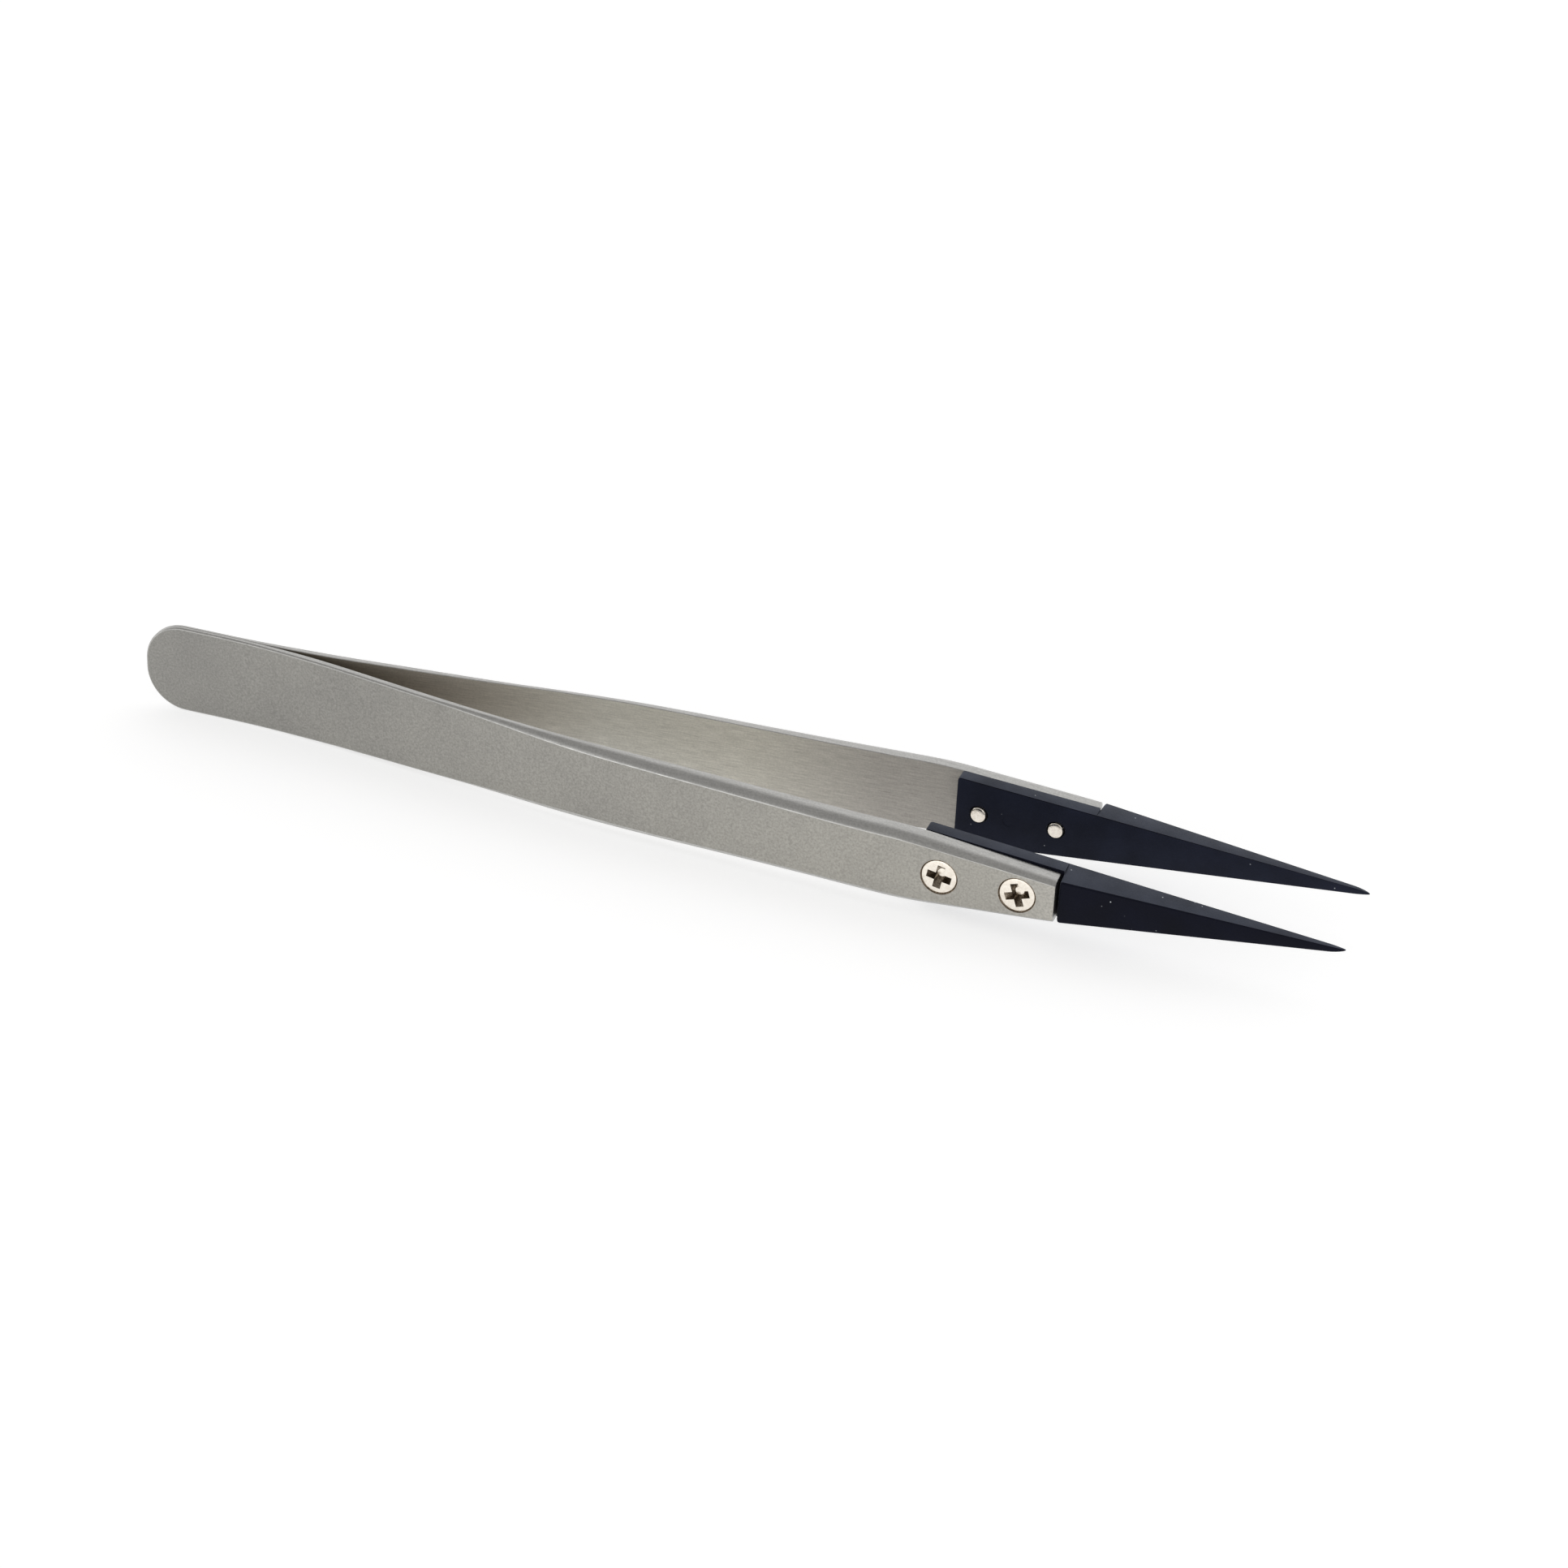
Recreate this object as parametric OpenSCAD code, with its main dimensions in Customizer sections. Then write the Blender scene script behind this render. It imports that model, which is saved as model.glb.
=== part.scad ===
// Precision tweezers with replaceable tips: two sprung steel arms welded at the heel, and a plastic
// tip on each arm that two countersunk screws hold by its tang.
// +X runs from the heel to the tip points, +Y is left and +Z is up. The origin is under the middle
// of the whole object. Inside the modules x is counted from the heel and z from mid height.

/* [Overall] */
// Length from the heel to the tip points
length = 130; // [126:0.5:134]
// Gap between the two tip points at rest
tip_gap = 10.9; // [10.5:0.1:11.6]

/* [Steel arms] */
// Height of an arm at its heel
heel_height = 9.8; // [9:0.1:10.5]
// Height of an arm at its waist, where the fingers hold it
waist_height = 8.7; // [8.2:0.1:9]
// Height of an arm just behind its screws
screw_height = 7.8; // [7.5:0.1:8.2]
// Height of an arm at its front end
front_height = 4.7; // [4.4:0.1:5.1]
// Corner radius of the heel's round end
heel_corner = 4.4; // [3:0.1:4.4]
// Thickness of an arm at the heel, where it is ground thin
heel_thickness = 0.45; // [0.4:0.05:0.6]
// Thickness of an arm where it bends
spring_thickness = 0.75; // [0.65:0.05:0.9]
// Thickness of an arm where the fingers hold it
grip_thickness = 1.6; // [1.4:0.05:1.8]
// Thickness of an arm at its screws and front end
front_thickness = 2.1; // [1.9:0.05:2.2]
// Distance from the heel to the front end of the steel
arm_length = 101.9; // [101.5:0.1:102.4]
// Distance from the heel to the middle of the bending stretch
flex_x = 25; // [24:0.5:30]

/* [Plastic tips] */
// Distance from the heel to the rear end of the tang
tang_x = 87.85; // [87.5:0.05:88.3]
// Thickness of the tang beside the rear screw
tang_thickness = 1.65; // [1.5:0.05:1.8]
// Gap between the steel's front end and the tip's shoulder
shoulder_gap = 0.3; // [0.2:0.05:0.6]
// How far the shoulder lies below the steel's outer face
shoulder_sink = 0.35; // [0.1:0.05:0.5]
// Height of the tip's shoulder
shoulder_height = 5.2; // [5:0.1:5.4]
// Height of the tip at its point
point_height = 0.35; // [0.3:0.05:0.6]
// Thickness of the tip at its point
point_thickness = 0.4; // [0.3:0.05:0.6]

/* [Screws] */
// Distance from the heel to the rear screw
rear_screw_x = 90.15; // [90:0.05:90.5]
// Distance between the two screws of one arm
screw_pitch = 8; // [7.5:0.1:8.2]
// Diameter of a screw's head
head_d = 3.6; // [3.5:0.1:3.8]
// Diameter of a screw's thread
thread_d = 2; // [1.8:0.1:2.2]
// Length of a screw, head and all
screw_length = 4; // [3.8:0.1:4.2]

/* [Hidden] */
round_fn = 64;

// The inner face of an arm bends away from the middle plane, back at the waist and again before the screws
spring_bend_x = 11;
spring_bend_run = 12.7;
spring_slope = 0.1373;
waist_bend_x = 43;
waist_bend_run = 12;
waist_slope = 0.0522;
screw_bend_x = 80;
screw_bend_run = 6;
screw_slope = 0.0236;

// Stretches over which an arm grows thicker, and over which its height changes
heel_to_spring = [8, 20];
spring_to_grip = [36, 64];
grip_to_front = [60, 90];
heel_to_waist = [6, 42];
waist_to_screws = [50, 84];
taper_bend_x = 84;
taper_bend_run = 5;
taper_slope = (screw_height - front_height) / 2 / (arm_length - taper_bend_x - taper_bend_run / 2);

// Outline points are this far apart along X, and closer round the heel's corners
step = 2;
corner_step = 0.4;

// The flexure's bar is thinner than the strip by this much a side, with its running clearance
bar_inset = 0.03;
flex_clearance = 0.06;
// How far the flexure's bar ends below the arm's edges
bar_end = 0.15;
// The screws' clearances
screw_clearance = 0.02;
hole_d = thread_d + 0.2;
rim = 0.15;
head_depth = (head_d - thread_d) / 2;
end_chamfer = 0.2;
slot_width = 0.6;
slot_reach = 2.3;
slot_depth = 0.7;
socket_d = 1.1;

shoulder_x = arm_length + shoulder_gap;
tang_corner = 0.4;
// How far past a solid its cutters reach
past = 1;
reach = 20;

// 0 before a stretch of X, 1 after it, and a smooth step between
function ease(x, from_to) =
    let (u = min(1, max(0, (x - from_to[0]) / (from_to[1] - from_to[0])))) u * u * (3 - 2 * u);

// Offset at x of a line that bends to the given slope over a shallow arc from start
function bend(x, start, run, slope) =
    x <= start ? 0 : x < start + run ? slope * pow(x - start, 2) / (2 * run) : slope * (x - start - run / 2);

// Distance from the middle plane to an arm's inner face
function inner_y(x) = bend(x, spring_bend_x, spring_bend_run, spring_slope)
    - bend(x, waist_bend_x, waist_bend_run, spring_slope - waist_slope)
    - bend(x, screw_bend_x, screw_bend_run, waist_slope - screw_slope);

function thickness(x) = heel_thickness
    + (spring_thickness - heel_thickness) * ease(x, heel_to_spring)
    + (grip_thickness - spring_thickness) * ease(x, spring_to_grip)
    + (front_thickness - grip_thickness) * ease(x, grip_to_front);

function outer_y(x) = inner_y(x) + thickness(x);

// Half height of the arm, with the heel's round corners
function corner_drop(x) = x >= heel_corner ? 0 : heel_corner - sqrt(pow(heel_corner, 2) - pow(heel_corner - x, 2));

function half_height(x) = heel_height / 2
    - (heel_height - waist_height) / 2 * ease(x, heel_to_waist)
    - (waist_height - screw_height) / 2 * ease(x, waist_to_screws)
    - bend(x, taper_bend_x, taper_bend_run, taper_slope)
    - corner_drop(x);

// The tip's inner face is one plane, from the tang to the point
tang_inner_y = inner_y(rear_screw_x) - tang_thickness;
tip_slope = (tip_gap / 2 - tang_inner_y) / (length - rear_screw_x);
function tip_inner_y(x) = tang_inner_y + tip_slope * (x - rear_screw_x);

// Middle of the flexure, the arm's slope there and the radius of the bar
flex_y = inner_y(flex_x) + thickness(flex_x) / 2;
flex_angle = atan(spring_slope);
flex_r = thickness(flex_x) / 2 * cos(flex_angle) - bar_inset;

arm_xs = [
    for (x = [0 : corner_step : heel_corner - corner_step / 2]) x,
    for (x = [heel_corner : step : arm_length - step / 2]) x,
    arm_length
];

function there_and_back(forward, back) =
    concat(forward, [for (i = [len(back) - 1 : -1 : 0]) back[i]]);

// Moves a shape from the working frame, heel and mid height, to the object's own frame
module in_frame(side) {
    translate([-length / 2, 0, heel_height / 2])
        mirror([0, side == "right" ? 1 : 0, 0])
            children();
}

// Extrudes a plan drawn in X and Y through the whole height
module extrude_plan() {
    translate([0, 0, -reach / 2])
        linear_extrude(height = reach)
            children();
}

// Extrudes a side outline drawn in X and Z through the whole width
module extrude_side() {
    translate([0, reach, 0])
        rotate([90, 0, 0])
            linear_extrude(height = reach + past)
                children();
}

// One whole arm, as it is stamped and bent
module arm_strip() {
    intersection() {
        extrude_plan()
            polygon(there_and_back([for (x = arm_xs) [x, inner_y(x)]], [for (x = arm_xs) [x, outer_y(x)]]));
        extrude_side()
            polygon(there_and_back(
                [for (x = arm_xs) [x, -half_height(x)]], [for (x = arm_xs) [x, half_height(x)]]));
    }
}

// Everything on the tip's side of the flexure
module ahead_of_flexure() {
    translate([flex_x, flex_y, 0])
        rotate([0, 0, flex_angle])
            translate([0, -reach, -reach])
                cube([length, 2 * reach, 2 * reach]);
}

// A round bar along the flexure's axis, as high as the arm is there
module flex_bar(radius, height) {
    translate([flex_x, flex_y, -height / 2])
        cylinder(h = height, r = radius, $fn = round_fn);
}

// Places a screw, head outwards, at its seat on the arm's outer face
module at_screw(x) {
    translate([x, outer_y(x), 0])
        rotate([-90, 0, atan(screw_slope)])
            children();
}

// The countersunk hole of one screw
module countersink() {
    translate([0, 0, -head_depth - rim])
        cylinder(h = head_depth, d1 = thread_d + 2 * screw_clearance, d2 = head_d + 2 * screw_clearance,
                 $fn = round_fn);
    translate([0, 0, -rim])
        cylinder(h = rim + past, d = head_d + 2 * screw_clearance, $fn = round_fn);
    translate([0, 0, -front_thickness - past])
        cylinder(h = front_thickness + past, d = hole_d, $fn = round_fn);
}

// Rear stretch of an arm, from the weld to the flexure
module arm_heel(side) {
    color([0.66, 0.66, 0.64])
        in_frame(side)
            difference() {
                arm_strip();
                ahead_of_flexure();
                flex_bar(flex_r + flex_clearance, reach);
            }
}

// Front stretch of an arm, from the flexure to the tip's shoulder
module arm_blade(side) {
    color([0.62, 0.62, 0.60])
        in_frame(side)
            difference() {
                union() {
                    intersection() {
                        arm_strip();
                        ahead_of_flexure();
                    }
                    flex_bar(flex_r, 2 * (half_height(flex_x) - bar_end));
                }
                for (x = [rear_screw_x, rear_screw_x + screw_pitch])
                    at_screw(x)
                        countersink();
            }
}

// Plastic tip: the tang lies on the arm's inner face, and the shoulder carries on from the steel
module tip(side) {
    shoulder_outer_y = outer_y(arm_length) - shoulder_sink;
    tang_half = half_height(tang_x) + 0.05;
    color([0.09, 0.1, 0.13])
        in_frame(side)
            difference() {
                intersection() {
                    extrude_plan()
                        polygon([
                            [tang_x, tip_inner_y(tang_x)],
                            [length, tip_inner_y(length)],
                            [length, tip_inner_y(length) + point_thickness],
                            [shoulder_x, shoulder_outer_y],
                            [shoulder_x, inner_y(shoulder_x)],
                            [tang_x, inner_y(tang_x)]
                        ]);
                    extrude_side()
                        polygon([
                            [tang_x, -tang_half + tang_corner],
                            [tang_x + tang_corner, -tang_half],
                            [shoulder_x, -shoulder_height / 2],
                            [length, -point_height / 2],
                            [length, point_height / 2],
                            [shoulder_x, shoulder_height / 2],
                            [tang_x + tang_corner, tang_half],
                            [tang_x, tang_half - tang_corner]
                        ]);
                }
                for (x = [rear_screw_x, rear_screw_x + screw_pitch])
                    at_screw(x)
                        translate([0, 0, -reach / 2])
                            cylinder(h = reach / 2, d = thread_d, $fn = round_fn);
            }
}

// Countersunk cross-head machine screw, head up, with the top of its head at z = 0
module machine_screw() {
    shank_d = thread_d - 2 * screw_clearance;
    color([0.85, 0.83, 0.79])
        difference() {
            union() {
                translate([0, 0, -rim])
                    cylinder(h = rim, d = head_d, $fn = round_fn);
                translate([0, 0, -head_depth - rim])
                    cylinder(h = head_depth, d1 = thread_d, d2 = head_d, $fn = round_fn);
                translate([0, 0, -screw_length + end_chamfer])
                    cylinder(h = screw_length - end_chamfer - rim, d = shank_d, $fn = round_fn);
                translate([0, 0, -screw_length])
                    cylinder(h = end_chamfer, d1 = shank_d - 2 * end_chamfer, d2 = shank_d, $fn = round_fn);
            }
            for (turn = [0, 90])
                rotate([0, 0, turn])
                    translate([-slot_reach / 2, -slot_width / 2, -slot_depth])
                        cube([slot_reach, slot_width, slot_depth + past]);
            translate([0, 0, -slot_depth])
                cylinder(h = slot_depth + past, d = socket_d, $fn = round_fn);
        }
}

module screw(side, x) {
    in_frame(side)
        at_screw(x)
            machine_screw();
}

module right_arm_heel() { arm_heel("right"); }
module left_arm_heel() { arm_heel("left"); }
module right_arm_blade() { arm_blade("right"); }
module left_arm_blade() { arm_blade("left"); }
module right_tip() { tip("right"); }
module left_tip() { tip("left"); }
module right_rear_screw() { screw("right", rear_screw_x); }
module right_front_screw() { screw("right", rear_screw_x + screw_pitch); }
module left_rear_screw() { screw("left", rear_screw_x); }
module left_front_screw() { screw("left", rear_screw_x + screw_pitch); }

right_arm_heel();
left_arm_heel();
right_arm_blade();
left_arm_blade();
right_tip();
left_tip();
right_rear_screw();
right_front_screw();
left_rear_screw();
left_front_screw();
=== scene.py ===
"""Looks for the precision tweezers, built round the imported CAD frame.

Everything is in metres in the frame's own axes: +X from the heel to the tip points, +Y left, +Z up.
The profile functions count x in millimetres from the heel, as the design does, and z from mid height.
"""

import math

import bmesh
import bpy
import numpy as np
from mathutils import Matrix, Vector


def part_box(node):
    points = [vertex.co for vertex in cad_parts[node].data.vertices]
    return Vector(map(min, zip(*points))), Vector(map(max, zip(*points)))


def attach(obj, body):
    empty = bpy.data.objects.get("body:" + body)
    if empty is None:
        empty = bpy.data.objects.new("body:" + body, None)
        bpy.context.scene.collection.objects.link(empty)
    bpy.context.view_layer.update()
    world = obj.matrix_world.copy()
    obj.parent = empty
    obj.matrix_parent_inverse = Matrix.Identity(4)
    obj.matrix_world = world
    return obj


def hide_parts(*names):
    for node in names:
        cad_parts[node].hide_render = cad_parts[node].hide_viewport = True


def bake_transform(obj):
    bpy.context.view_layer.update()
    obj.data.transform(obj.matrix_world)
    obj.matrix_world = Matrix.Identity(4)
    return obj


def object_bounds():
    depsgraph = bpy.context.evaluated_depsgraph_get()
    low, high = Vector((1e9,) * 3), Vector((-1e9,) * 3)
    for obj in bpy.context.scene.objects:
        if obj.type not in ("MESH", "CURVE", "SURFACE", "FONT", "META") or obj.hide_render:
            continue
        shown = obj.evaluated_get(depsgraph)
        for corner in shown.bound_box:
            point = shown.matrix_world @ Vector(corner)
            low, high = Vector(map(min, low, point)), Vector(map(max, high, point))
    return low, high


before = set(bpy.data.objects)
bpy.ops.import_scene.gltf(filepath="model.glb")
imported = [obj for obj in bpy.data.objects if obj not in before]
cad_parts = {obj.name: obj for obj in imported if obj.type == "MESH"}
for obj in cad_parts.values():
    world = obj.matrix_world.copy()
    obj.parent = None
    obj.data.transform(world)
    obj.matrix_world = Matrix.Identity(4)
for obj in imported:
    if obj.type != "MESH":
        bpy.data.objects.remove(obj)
CAD_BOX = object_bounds()

MM = 0.001

# ---------------------------------------------------------------- sizes, in millimetres

HEEL_LOW, HEEL_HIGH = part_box("left_arm_heel")
BLADE_LOW, BLADE_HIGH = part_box("left_arm_blade")
TIP_LOW, TIP_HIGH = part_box("left_tip")

HEEL_X = HEEL_LOW.x / MM
MID_Z = (HEEL_LOW.z + HEEL_HIGH.z) / 2 / MM
HEEL_HEIGHT = (HEEL_HIGH.z - HEEL_LOW.z) / MM
ARM_LENGTH = BLADE_HIGH.x / MM - HEEL_X
TANG_X = TIP_LOW.x / MM - HEEL_X
LENGTH = TIP_HIGH.x / MM - HEEL_X

# Driving sizes of the design
TIP_GAP = 10.9
WAIST_HEIGHT = 8.7
SCREW_HEIGHT = 7.8
FRONT_HEIGHT = 4.7
HEEL_CORNER = 4.4
HEEL_THICKNESS = 0.45
SPRING_THICKNESS = 0.75
GRIP_THICKNESS = 1.6
FRONT_THICKNESS = 2.1
TANG_THICKNESS = 1.65
SHOULDER_GAP = 0.3
SHOULDER_SINK = 0.35
SHOULDER_HEIGHT = 5.2
POINT_HEIGHT = 0.35
POINT_THICKNESS = 0.4
SCREW_XS = {"rear": 90.15, "front": 98.15}
HEAD_D = 3.6
THREAD_D = 2.0
SCREW_LENGTH = 4.0

# Bends of the inner face: start, run and change of slope
BENDS = ((11.0, 12.7, 0.1373), (43.0, 12.0, 0.0522 - 0.1373), (80.0, 6.0, 0.0236 - 0.0522))
SCREW_SLOPE = 0.0236
HEEL_TO_SPRING = (8.0, 20.0)
SPRING_TO_GRIP = (36.0, 64.0)
GRIP_TO_FRONT = (60.0, 90.0)
HEEL_TO_WAIST = (6.0, 42.0)
WAIST_TO_SCREWS = (50.0, 84.0)
TAPER_START, TAPER_RUN = 84.0, 5.0
TAPER_SLOPE = (SCREW_HEIGHT - FRONT_HEIGHT) / 2 / (ARM_LENGTH - TAPER_START - TAPER_RUN / 2)


def ease(x, stretch):
    """0 before the stretch of x, 1 after it, and a smooth step between."""
    u = min(1.0, max(0.0, (x - stretch[0]) / (stretch[1] - stretch[0])))
    return u * u * (3 - 2 * u)


def bend(x, start, run, slope):
    """Offset at x of a line that bends to the given slope over a shallow arc."""
    if x <= start:
        return 0.0
    if x < start + run:
        return slope * (x - start) ** 2 / (2 * run)
    return slope * (x - start - run / 2)


def inner_y(x):
    """Distance from the middle plane to an arm's inner face."""
    return sum(bend(x, *b) for b in BENDS)


def thickness(x):
    spring = (SPRING_THICKNESS - HEEL_THICKNESS) * ease(x, HEEL_TO_SPRING)
    grip = (GRIP_THICKNESS - SPRING_THICKNESS) * ease(x, SPRING_TO_GRIP)
    return HEEL_THICKNESS + spring + grip + (FRONT_THICKNESS - GRIP_THICKNESS) * ease(x, GRIP_TO_FRONT)


def edge_height(x):
    """Half height of an arm, leaving out the heel's round corners."""
    waist = (HEEL_HEIGHT - WAIST_HEIGHT) / 2 * ease(x, HEEL_TO_WAIST)
    screws = (WAIST_HEIGHT - SCREW_HEIGHT) / 2 * ease(x, WAIST_TO_SCREWS)
    return HEEL_HEIGHT / 2 - waist - screws - bend(x, TAPER_START, TAPER_RUN, TAPER_SLOPE)


TANG_INNER_Y = inner_y(SCREW_XS["rear"]) - TANG_THICKNESS
TIP_SLOPE = (TIP_GAP / 2 - TANG_INNER_Y) / (LENGTH - SCREW_XS["rear"])


def tip_inner_y(x):
    return TANG_INNER_Y + TIP_SLOPE * (x - SCREW_XS["rear"])


def place(x, y, z, sign):
    """A point of the left (sign 1) or right (sign -1) half, in the frame's metres."""
    return ((HEEL_X + x) * MM, sign * y * MM, (MID_Z + z) * MM)


# ---------------------------------------------------------------- node helpers


def new_material(name):
    """A material with a cleared tree, its Principled shader and the object coordinates."""
    material = bpy.data.materials.new(name)
    material.use_nodes = True
    tree = material.node_tree
    tree.nodes.clear()
    output = tree.nodes.new("ShaderNodeOutputMaterial")
    shader = tree.nodes.new("ShaderNodeBsdfPrincipled")
    tree.links.new(shader.outputs["BSDF"], output.inputs["Surface"])
    coordinates = tree.nodes.new("ShaderNodeTexCoord")
    return material, tree, shader, coordinates.outputs["Object"]


def stretched(tree, vector, scale):
    mapping = tree.nodes.new("ShaderNodeMapping")
    mapping.inputs["Scale"].default_value = scale
    tree.links.new(vector, mapping.inputs["Vector"])
    return mapping.outputs["Vector"]


def noise(tree, vector, scale, detail=2.0, roughness=0.5):
    node = tree.nodes.new("ShaderNodeTexNoise")
    node.inputs["Scale"].default_value = scale
    node.inputs["Detail"].default_value = detail
    node.inputs["Roughness"].default_value = roughness
    tree.links.new(vector, node.inputs["Vector"])
    return node.outputs["Fac"]


def ramp(tree, value, stops):
    """A colour ramp over (position, colour) stops."""
    node = tree.nodes.new("ShaderNodeValToRGB")
    elements = node.color_ramp.elements
    while len(elements) < len(stops):
        elements.new(0.5)
    for element, (position, colour) in zip(elements, stops):
        element.position = position
        element.color = (*colour, 1.0)
    tree.links.new(value, node.inputs["Fac"])
    return node.outputs["Color"]


def remap(tree, value, low, high, to_low, to_high):
    node = tree.nodes.new("ShaderNodeMapRange")
    for name, number in zip(("From Min", "From Max", "To Min", "To Max"), (low, high, to_low, to_high)):
        node.inputs[name].default_value = number
    tree.links.new(value, node.inputs["Value"])
    return node.outputs["Result"]


def mixed(tree, factor, a, b, blend_type="MIX"):
    """a and b are colours or sockets; factor is a number or a socket."""
    node = tree.nodes.new("ShaderNodeMix")
    node.data_type = "RGBA"
    node.blend_type = blend_type
    for socket, value in ((node.inputs[0], factor), (node.inputs[6], a), (node.inputs[7], b)):
        if isinstance(value, bpy.types.NodeSocket):
            tree.links.new(value, socket)
        elif isinstance(value, tuple):
            socket.default_value = (*value, 1.0)
        else:
            socket.default_value = value
    return node.outputs[2]


def bumped(tree, height, strength, distance):
    node = tree.nodes.new("ShaderNodeBump")
    node.inputs["Strength"].default_value = strength
    node.inputs["Distance"].default_value = distance
    tree.links.new(height, node.inputs["Height"])
    return node.outputs["Normal"]


# ---------------------------------------------------------------- materials


def along(tree, where, low, high, to_low, to_high):
    """A value that changes from the heel's end to the tips' end of the object."""
    axes = tree.nodes.new("ShaderNodeSeparateXYZ")
    tree.links.new(where, axes.inputs["Vector"])
    return remap(tree, axes.outputs["X"], low, high, to_low, to_high)


def blasted_steel():
    """Outer faces: stainless steel with a fine, even bead-blasted grain, and painted light that makes them brighter
    towards the front.
    """
    material, tree, shader, where = new_material("blasted_steel")
    shader.inputs["Metallic"].default_value = 1.0
    grain = noise(tree, where, 4600, 2, 0.6)
    cloud = noise(tree, where, 110, 3, 0.55)
    # Painted light: the colour brightens from the heel towards the front, standing in for light that falls brighter on
    # the front
    forward = along(tree, where, -0.06, 0.037, 0.0, 1.0)
    steel = [(0.0, (0.292, 0.286, 0.268)), (0.93, (0.385, 0.372, 0.338)), (1.0, (0.45, 0.435, 0.397))]
    painted_shading = ramp(tree, forward, steel)
    patch = ramp(tree, cloud, [(0.3, (0.96, 0.96, 0.965)), (0.7, (1.04, 1.04, 1.035))])
    fleck = ramp(tree, grain, [(0.3, (0.84, 0.84, 0.84)), (0.7, (1.16, 1.16, 1.16))])
    base = mixed(tree, 1.0, painted_shading, patch, "MULTIPLY")
    tree.links.new(mixed(tree, 1.0, base, fleck, "MULTIPLY"), shader.inputs["Base Color"])
    tree.links.new(remap(tree, cloud, 0.3, 0.7, 0.48, 0.42), shader.inputs["Roughness"])
    tree.links.new(bumped(tree, grain, 0.5, 0.00003), shader.inputs["Normal"])
    return material


def brushed_steel():
    """Inner faces: the same steel, brushed lengthwise, with painted warm shade deep between the arms near the heel and
    again towards the tips.
    """
    material, tree, shader, where = new_material("brushed_steel")
    shader.inputs["Metallic"].default_value = 1.0
    hairs = noise(tree, stretched(tree, where, (420, 1, 8000)), 1.0, 3, 0.6)
    grain = noise(tree, where, 5200, 2, 0.6)
    # Painted shade: darkest and warmest near the heel, where the arms close, lightest mid-way, and darker again towards
    # the tips' tangs
    forward = along(tree, where, -0.045, 0.02, 0.0, 1.0)
    painted_shade_stops = [(0.0, (0.40, 0.36, 0.30)), (0.185, (0.487, 0.454, 0.404)), (0.46, (0.624, 0.609, 0.557)),
               (0.70, (0.61, 0.59, 0.53)), (0.92, (0.446, 0.425, 0.393))]
    painted_shading = ramp(tree, forward, painted_shade_stops)
    streak = ramp(tree, hairs, [(0.3, (0.85, 0.85, 0.85)), (0.7, (1.10, 1.10, 1.10))])
    fleck = ramp(tree, grain, [(0.3, (0.92, 0.92, 0.92)), (0.7, (1.08, 1.08, 1.08))])
    base = mixed(tree, 1.0, painted_shading, streak, "MULTIPLY")
    tree.links.new(mixed(tree, 1.0, base, fleck, "MULTIPLY"), shader.inputs["Base Color"])
    tree.links.new(remap(tree, hairs, 0.3, 0.7, 0.58, 0.50), shader.inputs["Roughness"])
    tree.links.new(bumped(tree, hairs, 0.2, 0.00002), shader.inputs["Normal"])
    return material


def ground_steel():
    """Edges of the arms: ground along their length after blasting."""
    material, tree, shader, where = new_material("ground_steel")
    shader.inputs["Metallic"].default_value = 1.0
    grain = noise(tree, where, 5200, 3, 0.6)
    hairs = noise(tree, stretched(tree, where, (260, 6000, 6000)), 1.0, 3, 0.6)
    base = ramp(tree, hairs, [(0.3, (0.41, 0.405, 0.39)), (0.7, (0.50, 0.495, 0.48))])
    fleck = ramp(tree, grain, [(0.3, (0.86, 0.86, 0.86)), (0.7, (1.12, 1.12, 1.12))])
    tree.links.new(mixed(tree, 1.0, base, fleck, "MULTIPLY"), shader.inputs["Base Color"])
    tree.links.new(remap(tree, hairs, 0.3, 0.7, 0.36, 0.28), shader.inputs["Roughness"])
    tree.links.new(bumped(tree, grain, 0.3, 0.00002), shader.inputs["Normal"])
    return material


def painted_edge_highlight():
    """The lower border of the rounded edge, with a painted highlight along the fingers' stretch: a brighter colour
    where the light catches the crease, and a smoother surface.
    """
    material, tree, shader, where = new_material("painted_edge_highlight")
    shader.inputs["Metallic"].default_value = 1.0
    highlight_streaks = noise(tree, stretched(tree, where, (700, 3000, 3000)), 1.0, 3, 0.6)
    highlight_start = along(tree, where, -0.04, -0.012, 0.0, 1.0)
    highlight_end = along(tree, where, -0.008, 0.024, 1.0, 0.15)
    highlight_mask = tree.nodes.new("ShaderNodeMath")
    highlight_mask.operation = "MULTIPLY"
    tree.links.new(highlight_start, highlight_mask.inputs[0])
    tree.links.new(highlight_end, highlight_mask.inputs[1])
    bright = ramp(tree, highlight_streaks, [(0.3, (0.44, 0.44, 0.425)), (0.7, (0.70, 0.70, 0.68))])
    colour = mixed(tree, highlight_mask.outputs[0], (0.36, 0.355, 0.34), bright)
    tree.links.new(colour, shader.inputs["Base Color"])
    tree.links.new(remap(tree, highlight_streaks, 0.3, 0.7, 0.34, 0.22), shader.inputs["Roughness"])
    return material


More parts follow.
